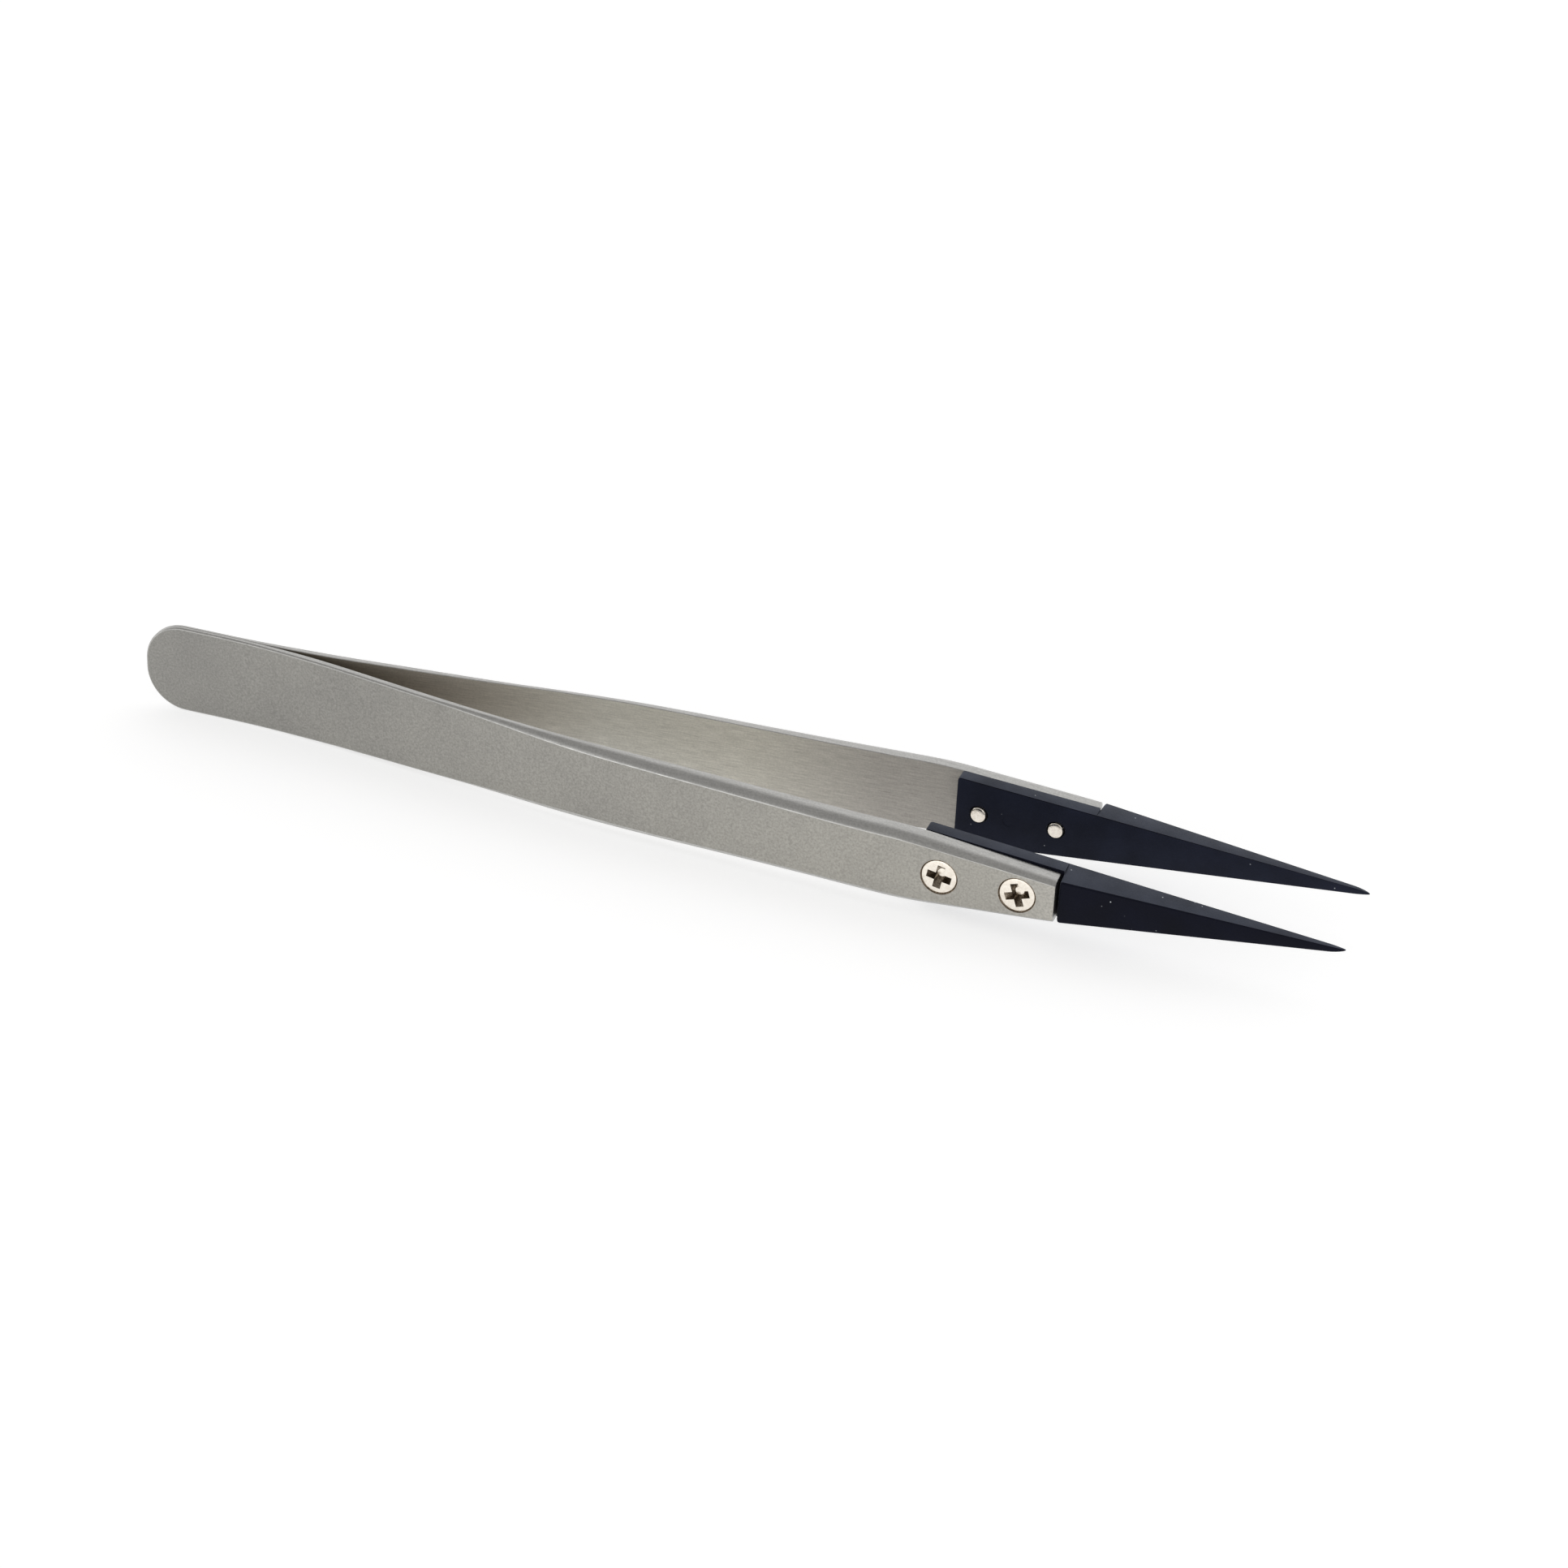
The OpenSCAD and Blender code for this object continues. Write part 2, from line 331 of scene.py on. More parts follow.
def black_plastic(name, colour):
    """Tips: matt blue-black carbon-filled plastic of a given colour, with a moulded grain and a few pale specks."""
    material, tree, shader, where = new_material(name)
    shader.inputs["Specular IOR Level"].default_value = 0.10
    shader.inputs["Sheen Weight"].default_value = 0.14
    shader.inputs["Sheen Roughness"].default_value = 0.35
    shader.inputs["Sheen Tint"].default_value = (0.85, 0.9, 1.0, 1.0)
    grain = noise(tree, where, 5200, 3, 0.6)
    cloud = noise(tree, where, 300, 3, 0.5)
    low, high = (tuple(share * c for c in colour) for share in (0.75, 1.25))
    base = ramp(tree, cloud, [(0.3, low), (0.7, high)])
    cells = tree.nodes.new("ShaderNodeTexVoronoi")
    cells.inputs["Scale"].default_value = 1300
    tree.links.new(where, cells.inputs["Vector"])
    dot = remap(tree, cells.outputs["Distance"], 0.11, 0.05, 0.0, 1.0)
    chosen = tree.nodes.new("ShaderNodeSeparateColor")
    tree.links.new(cells.outputs["Color"], chosen.inputs["Color"])
    rare = remap(tree, chosen.outputs["Red"], 0.88, 0.96, 0.0, 1.0)
    speck = tree.nodes.new("ShaderNodeMath")
    speck.operation = "MULTIPLY"
    tree.links.new(dot, speck.inputs[0])
    tree.links.new(rare, speck.inputs[1])
    tree.links.new(mixed(tree, speck.outputs[0], base, (0.55, 0.57, 0.60)), shader.inputs["Base Color"])
    tree.links.new(remap(tree, grain, 0.3, 0.7, 0.60, 0.48), shader.inputs["Roughness"])
    tree.links.new(bumped(tree, grain, 0.5, 0.00004), shader.inputs["Normal"])
    return material


def nickel():
    """Screws: bright nickel plating, warm in tone, with faint marks."""
    material, tree, shader, where = new_material("nickel_plate")
    shader.inputs["Metallic"].default_value = 1.0
    marks = noise(tree, where, 2600, 4, 0.6)
    base = ramp(tree, marks, [(0.35, (0.84, 0.77, 0.67)), (0.65, (0.97, 0.91, 0.82))])
    tree.links.new(base, shader.inputs["Base Color"])
    tree.links.new(remap(tree, marks, 0.35, 0.65, 0.26, 0.16), shader.inputs["Roughness"])
    tree.links.new(bumped(tree, marks, 0.3, 0.00004), shader.inputs["Normal"])
    return material


def recess_shade_steel():
    """Inside of the cross recess: the same metal, rough from the punch, and darkened to a warm brown as painted shade.
    """
    material, tree, shader, where = new_material("recess_shade_steel")
    shader.inputs["Metallic"].default_value = 1.0
    marks = noise(tree, where, 5200, 4, 0.65)
    base = ramp(tree, marks, [(0.35, (0.10, 0.072, 0.048)), (0.65, (0.42, 0.36, 0.29))])
    tree.links.new(base, shader.inputs["Base Color"])
    tree.links.new(remap(tree, marks, 0.35, 0.65, 0.40, 0.20), shader.inputs["Roughness"])
    tree.links.new(bumped(tree, marks, 0.6, 0.00005), shader.inputs["Normal"])
    return material


MATERIALS = {
    "blasted": blasted_steel(),
    "brushed": brushed_steel(),
    "ground": ground_steel(),
    # The crease strip's material is a painted highlight
    "highlight_strip": painted_edge_highlight(),
    # One plastic in three shades, as lit and shaded copies: the edge faces take a lighter copy, painted light where
    # light from above falls on the top faces, and the inner faces take a copy painted lighter than the outer ones
    "plastic": black_plastic("black_plastic", (0.0018, 0.0024, 0.0085)),
    "inner_plastic": black_plastic("inner_plastic", (0.0095, 0.0118, 0.0235)),
    "lit_edge_plastic": black_plastic("lit_edge_plastic", (0.046, 0.052, 0.072)),
    "nickel": nickel(),
    # The recess material is painted shade, dark inside the screws' cross recesses and on the arms' countersinks round
    # the heads
    "socket": recess_shade_steel(),
}


# ---------------------------------------------------------------- mesh helpers


def make_object(name, vertices, faces, materials, face_materials=None, sharp_angle=30):
    mesh = bpy.data.meshes.new(name)
    mesh.from_pydata(vertices, [], faces)
    for key in materials:
        mesh.materials.append(MATERIALS[key])
    if face_materials is not None:
        mesh.polygons.foreach_set("material_index", face_materials)
    build = bmesh.new()
    build.from_mesh(mesh)
    bmesh.ops.remove_doubles(build, verts=build.verts, dist=1e-7)
    bmesh.ops.recalc_face_normals(build, faces=build.faces)
    build.to_mesh(mesh)
    build.free()
    obj = bpy.data.objects.new(name, mesh)
    bpy.context.scene.collection.objects.link(obj)
    smooth(obj, sharp_angle)
    return obj


def smooth(obj, sharp_angle):
    obj.data.shade_smooth()
    obj.data.set_sharp_from_angle(angle=math.radians(sharp_angle))


def loft(sections, bands, start_cap=True):
    """Quads between closed sections of equal length, with a flat cap at each end.

    bands gives the material index of each strip round the section. Returns vertices, faces and indices.
    """
    count = len(sections[0])
    vertices = [point for section in sections for point in section]
    faces, indices = [], []
    for row in range(len(sections) - 1):
        for i in range(count):
            j = (i + 1) % count
            a, b = row * count, (row + 1) * count
            faces.append((a + i, a + j, b + j, b + i))
            indices.append(bands[i])
    last = (len(sections) - 1) * count
    if start_cap:
        faces.append(tuple(range(count - 1, -1, -1)))
        indices.append(bands[-1])
    faces.append(tuple(range(last, last + count)))
    indices.append(bands[-1])
    return vertices, faces, indices


def solid_volume(mesh):
    """The volume that a mesh closes, or 0 if it has an open or a doubled edge."""
    build = bmesh.new()
    build.from_mesh(mesh)
    closed = all(len(edge.link_faces) == 2 for edge in build.edges)
    volume = build.calc_volume(signed=True) if closed else 0.0
    build.free()
    return volume


def cut(obj, cutter):
    """Cuts the cutter out of obj, keeps the result in obj's mesh and deletes the cutter.

    Each object is cut once, in millimetres, where the solver is dependable. The cutter's parts may overlap.
    The script stops if what is left isn't closed, or has lost more than half of the object.
    """
    for piece in (obj, cutter):
        piece.data.transform(Matrix.Scale(1 / MM, 4))
    before = solid_volume(obj.data)
    modifier = obj.modifiers.new("cut", "BOOLEAN")
    modifier.operation = "DIFFERENCE"
    modifier.solver = "EXACT"
    modifier.use_self = True
    modifier.object = cutter
    modifier.material_mode = "TRANSFER"
    graph = bpy.context.evaluated_depsgraph_get()
    mesh = bpy.data.meshes.new_from_object(obj.evaluated_get(graph))
    if not before / 2 < solid_volume(mesh) < before:
        raise RuntimeError(f"a cut in {obj.name} did not leave a closed solid of the right size")
    mesh.transform(Matrix.Scale(MM, 4))
    obj.modifiers.clear()
    old = obj.data
    obj.data = mesh
    bpy.data.meshes.remove(old)
    bpy.data.objects.remove(cutter)
    return obj


def joined(pieces):
    """One object that holds the meshes of several cutters of one material, so that they cut together."""
    build = bmesh.new()
    for piece in pieces:
        build.from_mesh(piece.data)
    build.to_mesh(pieces[0].data)
    build.free()
    for piece in pieces[1:]:
        bpy.data.objects.remove(piece)
    return pieces[0]


def turned(name, profile, matrix, material, segments=64):
    """A closed solid of revolution about local Z from (radius, z) points in millimetres, top first."""
    vertices, faces = [], []
    for radius, z in profile:
        for k in range(segments):
            turn = 2 * math.pi * k / segments
            local = Vector((radius * math.cos(turn), radius * math.sin(turn), z)) * MM
            vertices.append(matrix @ local)
    for row in range(len(profile) - 1):
        for k in range(segments):
            m = (k + 1) % segments
            a, b = row * segments, (row + 1) * segments
            faces.append((a + k, b + k, b + m, a + m))
    last = (len(profile) - 1) * segments
    faces.append(tuple(range(segments)))
    faces.append(tuple(range(last + segments - 1, last - 1, -1)))
    return make_object(name, vertices, faces, [material])


# ---------------------------------------------------------------- arms

BEVEL_STEPS = 8
FACE_ROWS = 10
INNER_CHAMFER = 0.06
# The rounded edge stops short of the outer face's direction, which leaves a fine crease
CREASE_TURN = math.radians(20)
# Width of the strip along the crease that carries the painted highlight
HIGHLIGHT_STRIP_WIDTH = 0.07


def bevel_drop(x):
    """How far the rounded outer edge reaches down the outer face."""
    return 0.2 + 0.55 * ease(x, (32.0, 54.0)) - 0.28 * ease(x, (84.0, 102.0))


def bevel_depth(x):
    """How far the rounded outer edge reaches into the thickness."""
    return 0.22 + 1.0 * ease(x, (30.0, 62.0)) - 0.3 * ease(x, (88.0, 102.0))


def bevel_arc(drop, depth):
    """(inset, depth) points of the rounded edge, from the ground land down to the crease."""
    scale_z = drop / (1 - math.sin(CREASE_TURN))
    scale_y = depth / math.cos(CREASE_TURN)
    points = []
    for k in range(BEVEL_STEPS + 1):
        turn = math.pi / 2 + (CREASE_TURN - math.pi / 2) * k / BEVEL_STEPS
        points.append((scale_z * (1 - math.sin(turn)), depth - scale_y * math.cos(turn)))
    return points


def outline(x_steps):
    """Points (x, z) of an arm's upper outline from the heel's middle to the front, with inward normals."""
    flat = HEEL_HEIGHT / 2 - HEEL_CORNER
    points = []
    for k in range(15):
        turn = math.pi / 2 * k / 14
        x = HEEL_CORNER * (1 - math.cos(turn))
        z = flat + HEEL_CORNER * math.sin(turn)
        points.append(((x, z), (math.cos(turn), -math.sin(turn))))
    points += [((x, edge_height(x)), (0.0, -1.0)) for x in x_steps if x > HEEL_CORNER]
    return points


def arm_section(x, z, normal, sign, shrink=0.0):
    """One closed section: inner face, upper edge, outer face, lower edge."""
    thick = thickness(x)
    drop, depth = bevel_drop(x), bevel_depth(x)

    def point(inset, offset):
        px = x + inset * normal[0]
        pz = z + inset * normal[1]
        return px, inner_y(x) + offset, pz

    # The strip along the crease carries the painted highlight
    highlight_strip = min(HIGHLIGHT_STRIP_WIDTH, 0.15 * drop)
    arc = [(inset, thick - back) for inset, back in bevel_arc(drop, depth)]
    rounded = arc[:-1] + [(drop - highlight_strip, thick - highlight_strip / 3), (drop, thick)]
    upper = [point(INNER_CHAMFER + shrink, shrink), point(shrink, INNER_CHAMFER + shrink)]
    upper += [point(inset + shrink, offset - shrink) for inset, offset in rounded]
    lower = [(px, py, -pz) for px, py, pz in reversed(upper)]
    top, bottom = upper[-1], lower[0]
    outer = [
        tuple(a + (b - a) * k / FACE_ROWS for a, b in zip(top, bottom)) for k in range(1, FACE_ROWS)
    ]
    low, high = lower[-1], upper[0]
    inner = [tuple(a + (b - a) * k / FACE_ROWS for a, b in zip(low, high)) for k in range(1, FACE_ROWS)]
    return [place(*p, sign) for p in upper + outer + lower + inner]


def heel_end(section, vertices, faces, indices, edge_bands):
    """Closes the arm at the heel, between the upper and the lower edge of its first section."""
    across = len(edge_bands) + 1
    start = len(vertices)
    for i in range(across):
        high, low = Vector(section[i]), Vector(section[2 * across + FACE_ROWS - 2 - i])
        vertices += [high.lerp(low, k / FACE_ROWS) for k in range(FACE_ROWS + 1)]
    for i, band in enumerate(edge_bands):
        a, b = start + i * (FACE_ROWS + 1), start + (i + 1) * (FACE_ROWS + 1)
        for k in range(FACE_ROWS):
            faces.append((a + k, b + k, b + k + 1, a + k + 1))
            indices.append(band)


def make_arm(side, sign):
    steps = [HEEL_CORNER + k * (ARM_LENGTH - HEEL_CORNER) / 98 for k in range(1, 98)]
    end_round = 0.05
    steps += [ARM_LENGTH - end_round]
    sections = [arm_section(x, z, normal, sign) for (x, z), normal in outline(steps)]
    sections.append(arm_section(ARM_LENGTH, edge_height(ARM_LENGTH), (0.0, -1.0), sign, end_round))
    # Band 3 is the crease strip with the painted highlight
    edge = [2] * (2 + BEVEL_STEPS) + [3]
    bands = edge + [0] * FACE_ROWS + edge[::-1] + [1] * FACE_ROWS
    vertices, faces, indices = loft(sections, bands, start_cap=False)
    indices[-1] = 2
    heel_end(sections[0], vertices, faces, indices, edge)
    arm = make_object(f"{side}_steel_arm", vertices, faces, ["blasted", "brushed", "ground", "highlight_strip"], indices)
    cut(arm, joined([countersink_cutter(x, sign) for x in SCREW_XS.values()]))
    smooth(arm, 16)
    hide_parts(f"{side}_arm_heel", f"{side}_arm_blade")
    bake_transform(arm)
    return arm


# ---------------------------------------------------------------- screws

RECESS_DEPTH = 1.0
WING_WIDTH = 0.80
WING_REACH = 1.25
WING_FOOT_REACH = 0.42
WING_FOOT_WIDTH = 0.40
SOCKET_D = 1.15
THREAD_PITCH = 0.4
THREAD_DEPTH = 0.2
SCREW_SINK = 0.05
RIM_CLEARANCE = 0.10


def screw_matrix(x, sign):
    """Local +Z points out of the arm at a screw, with the origin on the outer face."""
    outward = Vector((-SCREW_SLOPE, sign, 0)).normalized()
    along = Vector((1, sign * SCREW_SLOPE, 0)).normalized()
    across = outward.cross(along)
    rotation = Matrix((along, across, outward)).transposed().to_4x4()
    return Matrix.Translation(place(x, inner_y(x) + thickness(x), 0, sign)) @ rotation


def countersink_cutter(x, sign):
    head, hole, rim = HEAD_D / 2 + RIM_CLEARANCE, THREAD_D / 2 + 0.1, 0.15
    profile = [(head + 0.03, 1.0), (head + 0.03, 0.0), (head, -0.04), (head, -rim),
               (hole, -rim - head + hole), (hole, -3.0)]
    # Its faces hand the dark recess material to the arm, painting shade on the countersink round the head
    return turned("cutter", profile, screw_matrix(x, sign), "socket")


def wing_cutter(matrix, turn):
    """One bar of the cross recess, narrower and shorter at its foot."""
    above = 0.3
    spread = 1 + above / RECESS_DEPTH
    top_reach = WING_FOOT_REACH + (WING_REACH - WING_FOOT_REACH) * spread
    top_half = (WING_FOOT_WIDTH + (WING_WIDTH - WING_FOOT_WIDTH) * spread) / 2
    vertices = []
    for z, reach, half in ((above, top_reach, top_half), (-RECESS_DEPTH, WING_FOOT_REACH, WING_FOOT_WIDTH / 2)):
        for px, py in ((-reach, -half), (reach, -half), (reach, half), (-reach, half)):
            local = Matrix.Rotation(turn, 3, "Z") @ Vector((px, py, z)) * MM
            vertices.append(matrix @ local)
    faces = [(0, 1, 2, 3), (7, 6, 5, 4), (0, 4, 5, 1), (1, 5, 6, 2), (2, 6, 7, 3), (3, 7, 4, 0)]
    return make_object("cutter", vertices, faces, ["socket"])


def socket_cutter(matrix):
    """The hollow at the middle of the cross, where the four wings run together."""
    top, foot = SOCKET_D / 2, 0.12
    profile = [(top, 0.3), (top, -0.1), (0.8 * top, -RECESS_DEPTH), (foot, -RECESS_DEPTH - 0.12)]
    return turned("cutter", profile, matrix, "socket", 24)


def threaded_shank(radius, z_top, z_bottom, matrix, segments):
    """Rings of a helical thread from z_top down to z_bottom, as (vertices, faces) open at the top."""
    rows = 72
    vertices, faces = [], []
    for row in range(rows + 1):
        z = z_top + (z_bottom - z_top) * row / rows
        for k in range(segments):
            turn = k / segments
            phase = (z / THREAD_PITCH + turn) % 1.0
            crest = 1 - abs(2 * phase - 1)
            fade = min(1.0, (z - z_bottom) / 0.3)
            r = radius - THREAD_DEPTH * (1 - crest * fade)
            local = Vector((r * math.cos(2 * math.pi * turn), r * math.sin(2 * math.pi * turn), z)) * MM
            vertices.append(matrix @ local)
    for row in range(rows):
        for k in range(segments):
            m = (k + 1) % segments
            a, b = row * segments, (row + 1) * segments
            faces.append((a + k, b + k, b + m, a + m))
    faces.append(tuple(range(segments)))
    return vertices, faces


def add_rings(vertices, faces, rings, matrix, segments):
    """Carries a mesh on from its last ring through (radius, z) rings, and closes it."""
    ring = len(vertices) - segments
    for radius, z in rings:
        start = len(vertices)
        for k in range(segments):
            turn = 2 * math.pi * k / segments
            vertices.append(matrix @ (Vector((radius * math.cos(turn), radius * math.sin(turn), z)) * MM))
        for k in range(segments):
            m = (k + 1) % segments
            faces.append((ring + k, start + k, start + m, ring + m))
        ring = start
    faces.append(tuple(range(ring + segments - 1, ring - 1, -1)))


def make_screw(side, which, sign, turn):
    name = f"{side}_{which}_screw"
    matrix = screw_matrix(SCREW_XS[which], sign) @ Matrix.Translation((0, 0, -SCREW_SINK * MM))
    head, neck = HEAD_D / 2, THREAD_D / 2 - 0.1
    profile = [(0.6, 0.035), (1.3, 0.02), (head - 0.12, -0.01), (head - 0.03, -0.05), (head, -0.12),
               (head, -0.2), (neck, -0.2 - head + neck)]
    screw = turned(f"{name}_head", profile, matrix, "nickel", 96)
    # The recess faces take the dark recess material, painted shade inside the cross
    screw.data.materials.append(MATERIALS["socket"])
    recess = [wing_cutter(matrix, math.radians(turn + 90 * k)) for k in range(2)]
    recess.append(socket_cutter(matrix @ Matrix.Rotation(math.radians(turn + 4), 4, "Z")))
    cut(screw, joined(recess))
    smooth(screw, 28)

    segments = 48
    foot = -SCREW_LENGTH + SCREW_SINK
    vertices, faces = threaded_shank(neck, -1.0, foot + 0.1, matrix, segments)
    add_rings(vertices, faces, [(0.74, foot + 0.03), (0.58, foot), (0.3, foot + 0.02)], matrix, segments)
    shank = make_object(f"{name}_shank", vertices, faces, ["nickel"], sharp_angle=50)
    for piece in (screw, shank):
        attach(piece, f"{side}_arm")
    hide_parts(name)
    return screw


# ---------------------------------------------------------------- tips

ROUND_STEPS = 4
# Rounding of the shoulder's rear corner, and how much further it goes on the upper and lower sides
SHOULDER_ROUND = 0.3
SHOULDER_ROUND_Z = 0.35
TANG_ROUND = 0.3
# Length over which the point is rounded off
NOSE = 1.6
MARK_X = 93.4
MARK_D = 1.4
MARK_DEPTH = 0.03
# How much less high each tip is on its outer side, at the shoulder
DRAFT = 0.28


def tip_section(x, y_in, y_out, half_in, half_out, r_in, r_out):
    """A closed four-sided section with round corners, in (x, y, z); the outer side may be less high."""
    corners = (
        (y_in + r_in, half_in - r_in, r_in, math.pi),
        (y_out - r_out, half_out - r_out, r_out, math.pi / 2),
        (y_out - r_out, -half_out + r_out, r_out, 0.0),
        (y_in + r_in, -half_in + r_in, r_in, -math.pi / 2),
    )
    points = []
    for cy, cz, radius, start in corners:
        for k in range(ROUND_STEPS + 1):
            angle = start - math.pi / 2 * k / ROUND_STEPS
            points.append((x, cy + radius * math.cos(angle), cz + radius * math.sin(angle)))
    return points


def make_tip(side, sign):
    shoulder_x = ARM_LENGTH + SHOULDER_GAP
    shoulder_y = inner_y(ARM_LENGTH) + thickness(ARM_LENGTH) - SHOULDER_SINK
    point_y = tip_inner_y(LENGTH) + POINT_THICKNESS
    tang_half = edge_height(TANG_X) + 0.05

    def half(x):
        if x < shoulder_x:
            return tang_half + (SHOULDER_HEIGHT / 2 - tang_half) * (x - TANG_X) / (shoulder_x - TANG_X)
        return SHOULDER_HEIGHT / 2 + (POINT_HEIGHT - SHOULDER_HEIGHT) / 2 * (x - shoulder_x) / (LENGTH - shoulder_x)

    def outer(x):
        return shoulder_y + (point_y - shoulder_y) * (x - shoulder_x) / (LENGTH - shoulder_x)

    def drafted(x):
        """Half height of the tip on its outer side, which the mould narrows towards the shoulder."""
        return half(x) - DRAFT * (LENGTH - x) / (LENGTH - shoulder_x)

    def quarter(count):
        """(advance, inset) of a quarter turn, both from 0 to 1."""
        turns = [math.pi / 2 * k / count for k in range(count + 1)]
        return [(1 - math.cos(turn), 1 - math.sin(turn)) for turn in turns]

    sections = []
    for advance, inset in quarter(4):
        x, back = TANG_X + TANG_ROUND * advance, TANG_ROUND * inset
        high = half(x) - back
        sections.append(tip_section(x, tip_inner_y(x) + 0.25 * back, inner_y(x), high, high, 0.07, 0.05))
    for k in range(1, 8):
        x = TANG_X + TANG_ROUND + (shoulder_x - TANG_X - TANG_ROUND) * k / 7
        sections.append(tip_section(x, tip_inner_y(x), inner_y(x), half(x), half(x), 0.07, 0.05))
    for advance, inset in quarter(5):
        x = shoulder_x + SHOULDER_ROUND * advance
        y_out, high = outer(x) - SHOULDER_ROUND * inset, drafted(x) - SHOULDER_ROUND_Z * inset
        sections.append(tip_section(x, tip_inner_y(x), y_out, half(x), high, 0.07, 0.22))
    start, end = shoulder_x + SHOULDER_ROUND, LENGTH - NOSE
    for k in range(1, 17):
        x, share = start + (end - start) * k / 16, 1 - k / 16
        r_in, r_out = 0.03 + 0.04 * share, 0.08 + 0.14 * share
        sections.append(tip_section(x, tip_inner_y(x), outer(x), half(x), drafted(x), r_in, r_out))
    for k in range(1, 7):
        turn = math.radians(78) * k / 6
        x, share = end + NOSE * math.sin(turn) / math.sin(math.radians(78)), math.cos(turn)
        high, low, thick = half(x) * share, drafted(x) * share, (outer(x) - tip_inner_y(x)) * share
        y_in = tip_inner_y(x)
        sections.append(tip_section(x, y_in, y_in + thick, high, low, 0.03 * share, 0.08 * share))
    placed = [[place(*point, sign) for point in section] for section in sections]
    corner = [0] * ROUND_STEPS
    # Band 2, the top and bottom faces, takes the painted-light edge copy of the plastic; band 1, the inner face, the
    # lighter inner copy
    strip = corner + [2] + corner + [0] + corner + [2] + corner + [1]
    vertices, faces, indices = loft(placed, strip)
    indices[-2:] = [0, 0]
    tip = make_object(f"{side}_plastic_tip", vertices, faces, ["plastic", "inner_plastic", "lit_edge_plastic"], indices, 40)
    hole = [(THREAD_D / 2 - 0.02, 1.0), (THREAD_D / 2 - 0.02, -8.0)]
    cutters = [turned("cutter", hole, screw_matrix(x, sign), "inner_plastic") for x in SCREW_XS.values()]
    outward = Matrix.Rotation(-sign * math.pi / 2, 4, "X")
    mark = Matrix.Translation(place(MARK_X, tip_inner_y(MARK_X), 0, sign)) @ outward
    cutters.append(turned("cutter", [(MARK_D / 2, MARK_DEPTH), (MARK_D / 2, -0.5)], mark, "inner_plastic"))
    cut(tip, joined(cutters))
    smooth(tip, 35)
    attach(tip, f"{side}_arm")
    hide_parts(f"{side}_tip")
    return tip


# Which way each screw's cross was left pointing, in degrees
SCREW_TURNS = {("right", "rear"): -10, ("right", "front"): 18, ("left", "rear"): 33, ("left", "front"): 52}

for side, sign in (("right", -1), ("left", 1)):
    make_arm(side, sign)
    make_tip(side, sign)
    for which in SCREW_XS:
        make_screw(side, which, sign, SCREW_TURNS[side, which])


# ---------------------------------------------------------------- stage, light and camera


def make_floor():
    """A pale floor lit from below as well, as a light table is, so that shadows stay faint."""
    mesh = bpy.data.meshes.new("floor")
    half = 2.5
    mesh.from_pydata([(-half, -half, 0), (half, -half, 0), (half, half, 0), (-half, half, 0)], [], [(0, 1, 2, 3)])
    floor = bpy.data.objects.new("floor", mesh)
    floor.location.z = CAD_BOX[0].z - 0.00005
    bpy.context.scene.collection.objects.link(floor)
    material, tree, shader, where = new_material("pale_floor")
    shade = noise(tree, where, 3.0, 2, 0.5)
    colour = ramp(tree, shade, [(0.3, (0.52, 0.52, 0.52)), (0.7, (0.54, 0.54, 0.54))])
    tree.links.new(colour, shader.inputs["Base Color"])
    shader.inputs["Roughness"].default_value = 0.9
    shader.inputs["Specular IOR Level"].default_value = 0.1
    shader.inputs["Emission Color"].default_value = (1.0, 1.0, 1.0, 1.0)
    shader.inputs["Emission Strength"].default_value = 0.63
    mesh.materials.append(material)


# Panels of the light tent: direction, width from full to nothing in degrees, and colour
PANELS = (
    ((-0.27, -0.30, 0.91), (34, 58), (0.46, 0.455, 0.45)),
    ((-0.27, -0.95, 0.10), (10, 26), (1.5, 1.5, 1.5)),
)


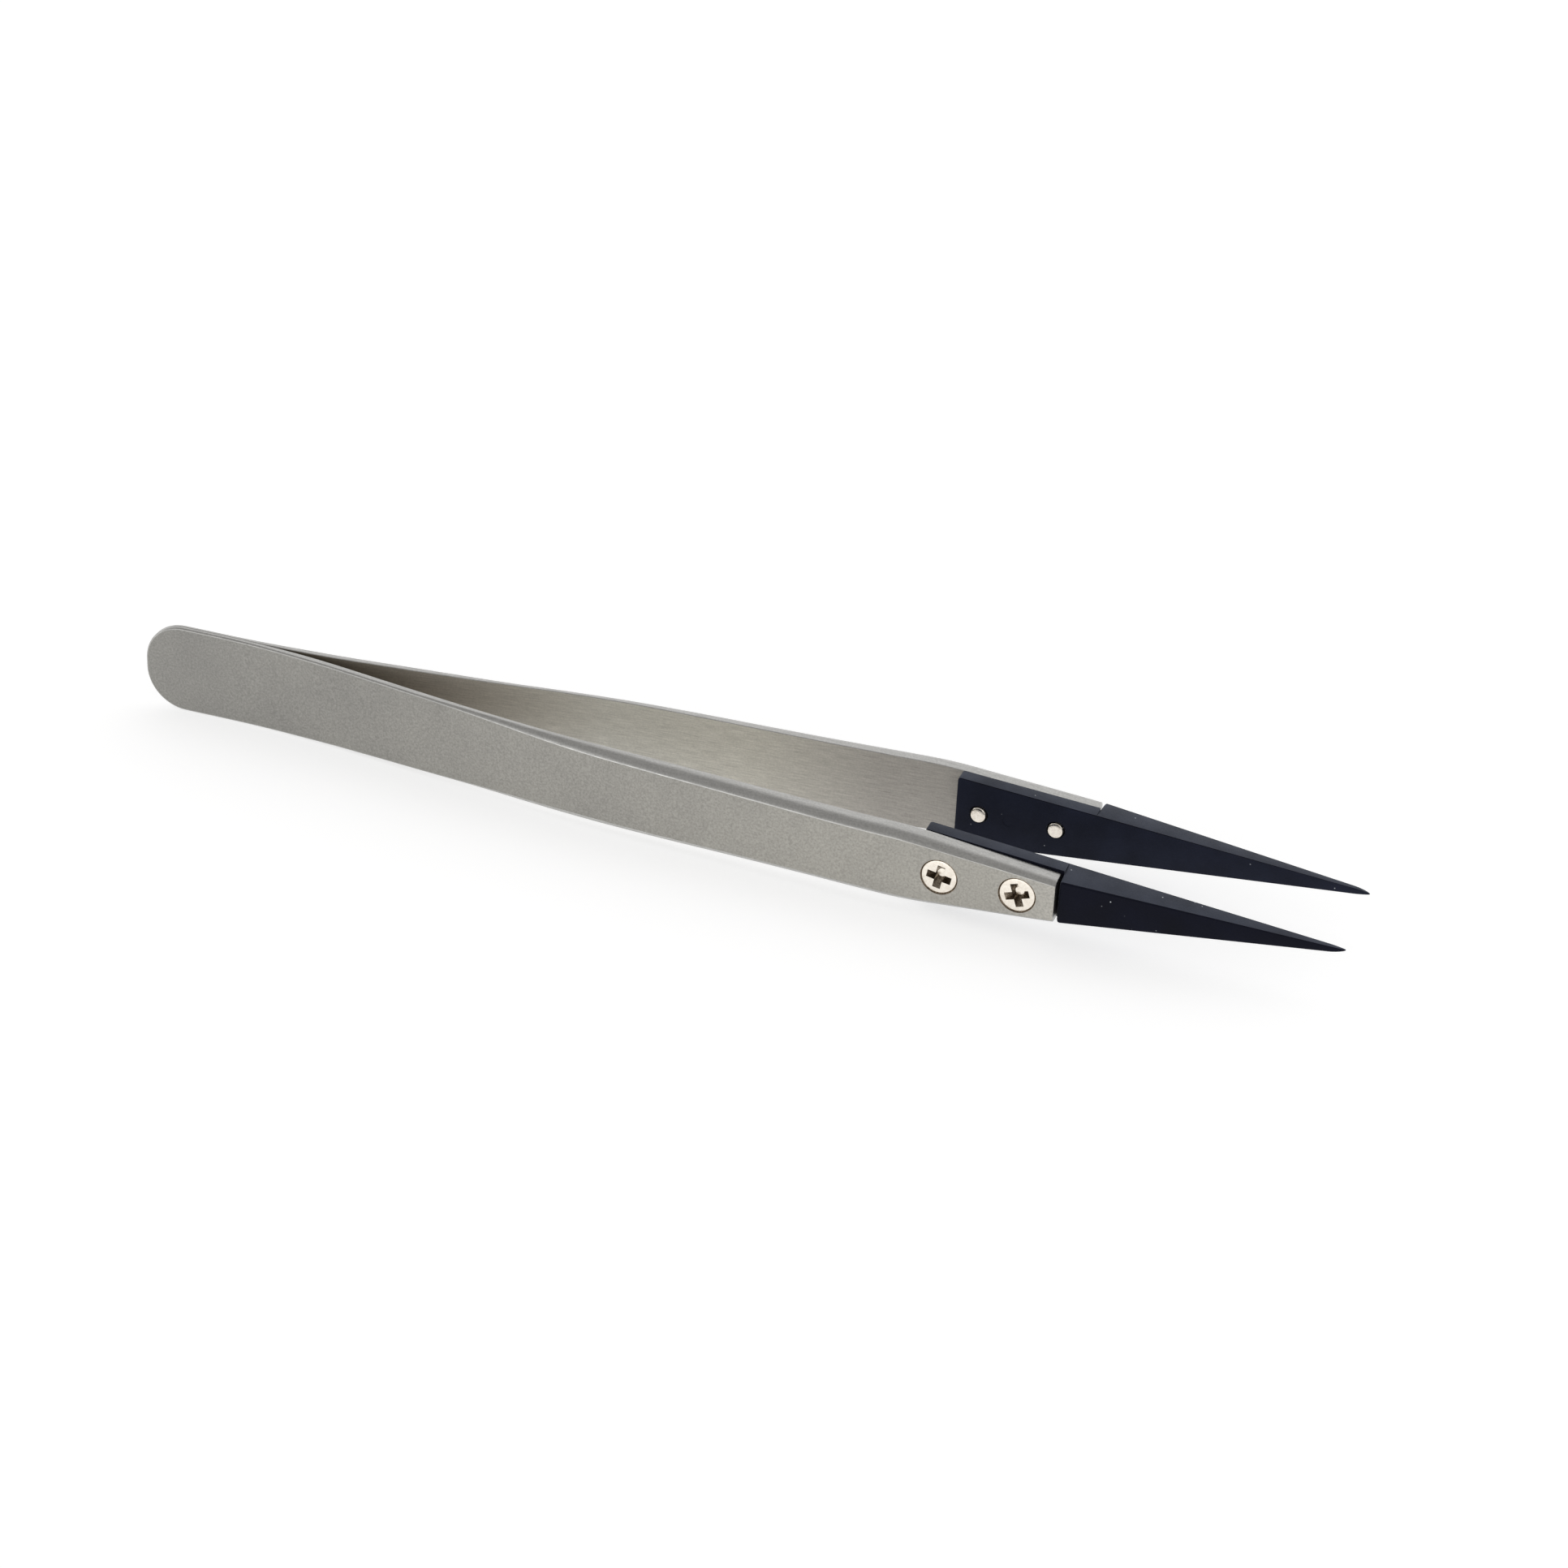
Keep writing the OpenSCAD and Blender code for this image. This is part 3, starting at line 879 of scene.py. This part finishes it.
def make_light():
    world = bpy.data.worlds.new("studio")
    world.use_nodes = True
    tree = world.node_tree
    colour = (1.0, 1.0, 1.0)
    where = tree.nodes.new("ShaderNodeTexCoord").outputs["Generated"]
    for toward, (full, nothing), panel in PANELS:
        dot = tree.nodes.new("ShaderNodeVectorMath")
        dot.operation = "DOT_PRODUCT"
        tree.links.new(where, dot.inputs[0])
        dot.inputs[1].default_value = Vector(toward).normalized()
        edges = math.cos(math.radians(nothing)), math.cos(math.radians(full))
        colour = mixed(tree, remap(tree, dot.outputs["Value"], *edges, 0.0, 1.0), colour, panel)
    background = tree.nodes["Background"]
    tree.links.new(colour, background.inputs["Color"])
    background.inputs["Strength"].default_value = 1.0
    bpy.context.scene.world = world


# The camera, solved for the view that the tweezers are seen from
CAMERA_AZIMUTH = math.radians(18.0)
CAMERA_ELEVATION = math.radians(30.26)
CAMERA_ROLL = math.radians(2.86)
CAMERA_DISTANCE = 391.6
CAMERA_SHIFT_RIGHT = 5.823
CAMERA_SHIFT_UP = 0.110
CAMERA_LENS = 89.0


def make_camera():
    a, e, roll = CAMERA_AZIMUTH, CAMERA_ELEVATION, CAMERA_ROLL
    back = Vector((math.sin(a) * math.cos(e), -math.cos(a) * math.cos(e), math.sin(e)))
    level_right = Vector((math.cos(a), math.sin(a), 0))
    level_up = back.cross(level_right)
    right = math.cos(roll) * level_right + math.sin(roll) * level_up
    up = -math.sin(roll) * level_right + math.cos(roll) * level_up
    target = Vector((0, 0, MID_Z))
    place_at = target + CAMERA_DISTANCE * back + CAMERA_SHIFT_RIGHT * right + CAMERA_SHIFT_UP * up
    data = bpy.data.cameras.new("camera")
    data.lens = CAMERA_LENS
    data.sensor_width = 36.0
    data.clip_start = 0.01
    camera = bpy.data.objects.new("camera", data)
    matrix = Matrix((right, up, back)).transposed().to_4x4()
    matrix.translation = place_at * MM
    camera.matrix_world = matrix
    bpy.context.scene.collection.objects.link(camera)
    bpy.context.scene.camera = camera


make_floor()
make_light()
make_camera()
bpy.context.scene.view_settings.view_transform = "Standard"
